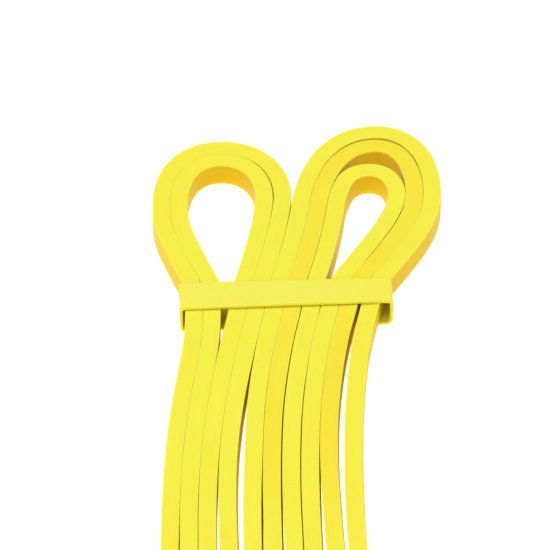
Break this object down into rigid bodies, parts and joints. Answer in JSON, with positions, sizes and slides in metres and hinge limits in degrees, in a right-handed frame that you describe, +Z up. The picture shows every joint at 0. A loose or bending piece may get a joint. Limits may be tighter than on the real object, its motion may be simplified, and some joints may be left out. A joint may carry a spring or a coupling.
{
  "type": "loop resistance band",
  "caption": "Endless latex exercise band, folded into a flat hank with looped ends and held near one end by a thin latex tie strap that slides along it.",
  "frame": {"origin": "on the table, under the middle of the folded hank's bounding box", "axes": "+X to the right across the strands, +Y along the hank towards its two tied-off eyes, +Z up from the table"},
  "size_m": [0.0784, 0.2088, 0.0089],
  "materials": {
    "band_latex": "satin",
    "strap_latex": "satin"
  },
  "bodies": {
    "strands": {"strand_01": "band_latex", "strand_02": "band_latex", "strand_03": "band_latex", "strand_04": "band_latex", "strand_05": "band_latex", "strand_06": "band_latex", "strand_07": "band_latex", "strand_08": "band_latex", "strand_09": "band_latex", "strand_10": "band_latex"},
    "strap": {"tie_strap": "strap_latex"},
    "eyes": {"left_eye_outer": "band_latex", "left_eye_inner": "band_latex", "right_eye_outer": "band_latex", "right_eye_middle": "band_latex", "right_eye_inner": "band_latex"},
    "left_tail": {"tail_left_outer": "band_latex", "tail_left_middle": "band_latex", "tail_left_inner": "band_latex"},
    "right_tail": {"tail_right_outer": "band_latex", "tail_right_inner": "band_latex"}
  },
  "joints": [
    {"name": "strap_slide", "type": "slide", "parent": "strands", "child": "strap", "axis": [-0.0976, -0.9952, 0], "range_m": [0, 0.055]},
    {"name": "eyes_flex", "type": "hinge", "parent": "strands", "child": "eyes", "pos_m": [-0.00129, 0.04683, 0.00765], "axis": [1, 0, 0], "range_deg": [0, 45], "stiffness_Nm_per_rad": 0.074},
    {"name": "left_tail_flex", "type": "hinge", "parent": "strands", "child": "left_tail", "pos_m": [-0.0173, -0.06017, 0.0064], "axis": [-1, 0, 0], "range_deg": [0, 45], "stiffness_Nm_per_rad": 0.044},
    {"name": "right_tail_flex", "type": "hinge", "parent": "strands", "child": "right_tail", "pos_m": [0.00971, -0.06017, 0.0064], "axis": [-1, 0, 0], "range_deg": [0, 45], "stiffness_Nm_per_rad": 0.03}
  ]
}
